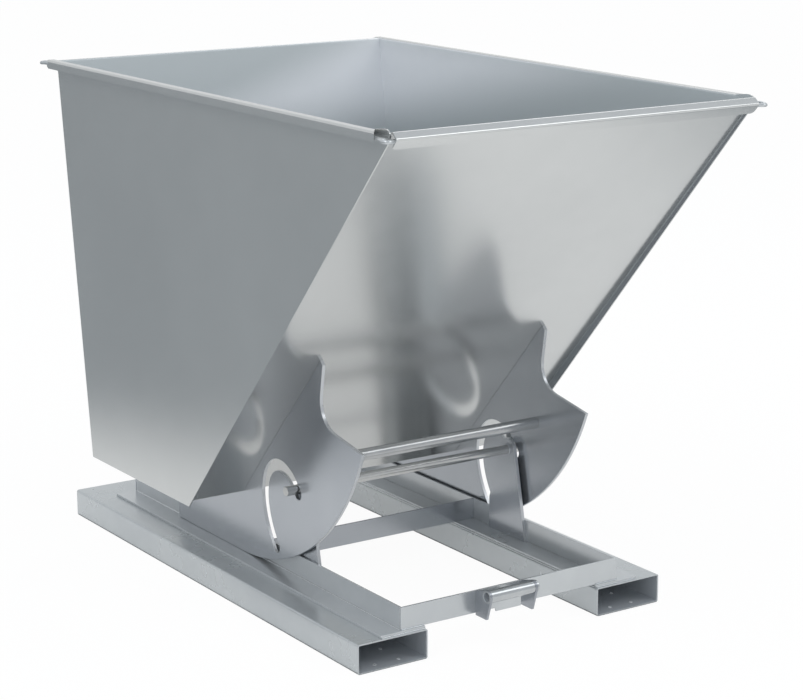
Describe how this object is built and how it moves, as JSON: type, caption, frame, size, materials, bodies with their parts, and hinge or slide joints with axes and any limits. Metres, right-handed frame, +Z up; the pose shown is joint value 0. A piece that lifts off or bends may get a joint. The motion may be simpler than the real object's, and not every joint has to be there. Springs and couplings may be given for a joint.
{
  "type": "tipping skip",
  "caption": "Forklift tipping skip: an open steel hopper on two rockers that rolls forward along a base frame with fork pockets until it empties over its front wall.",
  "frame": {"origin": "the floor below the middle of the whole skip", "axes": "+X to the right seen from the front, the skip tips towards -Y, +Z up"},
  "size_m": [0.948, 1.532, 1.163],
  "materials": {
    "galvanised_steel": "smooth, satin to mirror-like zinc",
    "bright_bar": "smooth bright bar and tube",
    "dark_steel": "satin"
  },
  "bodies": {
    "base": {"fork_pocket_left": "galvanised_steel", "fork_pocket_right": "galvanised_steel", "track_strip_left": "galvanised_steel", "track_strip_right": "galvanised_steel", "guide_rail_left": "galvanised_steel", "guide_rail_right": "galvanised_steel", "front_crossbar": "galvanised_steel", "middle_crossbar": "galvanised_steel", "rear_crossbar": "galvanised_steel", "upright_left": "galvanised_steel", "upright_right": "galvanised_steel", "pivot_shaft": "bright_bar", "sleeve_tube": "bright_bar", "sleeve_cheeks": "galvanised_steel", "sleeve_web": "galvanised_steel", "latch_lugs": "galvanised_steel", "latch_pin": "bright_bar"},
    "roll_centre": {"roll_centre_pin": "bright_bar"},
    "hopper": {"side_wall_left": "galvanised_steel", "side_wall_right": "galvanised_steel", "front_wall": "galvanised_steel", "floor_plate": "galvanised_steel", "rear_wall": "galvanised_steel", "rim_rod": "bright_bar", "rocker_left": "galvanised_steel", "rocker_right": "galvanised_steel", "spacer_tube": "bright_bar", "catch_lugs": "galvanised_steel", "catch_pin": "bright_bar"},
    "latch": {"latch_hook": "dark_steel"}
  },
  "joints": [
    {"name": "roll_travel", "type": "slide", "parent": "base", "child": "roll_centre", "axis": [0, -1, 0], "range_m": [0, 0.6176]},
    {"name": "hopper_tip", "type": "hinge", "parent": "roll_centre", "child": "hopper", "pos_m": [0, 0.10097, 0.616], "axis": [1, 0, 0], "range_deg": [0, 65]},
    {"name": "latch_swing", "type": "hinge", "parent": "base", "child": "latch", "pos_m": [0, 0.63897, 0.152], "axis": [1, 0, 0], "range_deg": [0, 20]}
  ],
  "couplings": [
    {"joint": "roll_travel", "follows": "hopper_tip", "m_per_rad": 0.544}
  ]
}
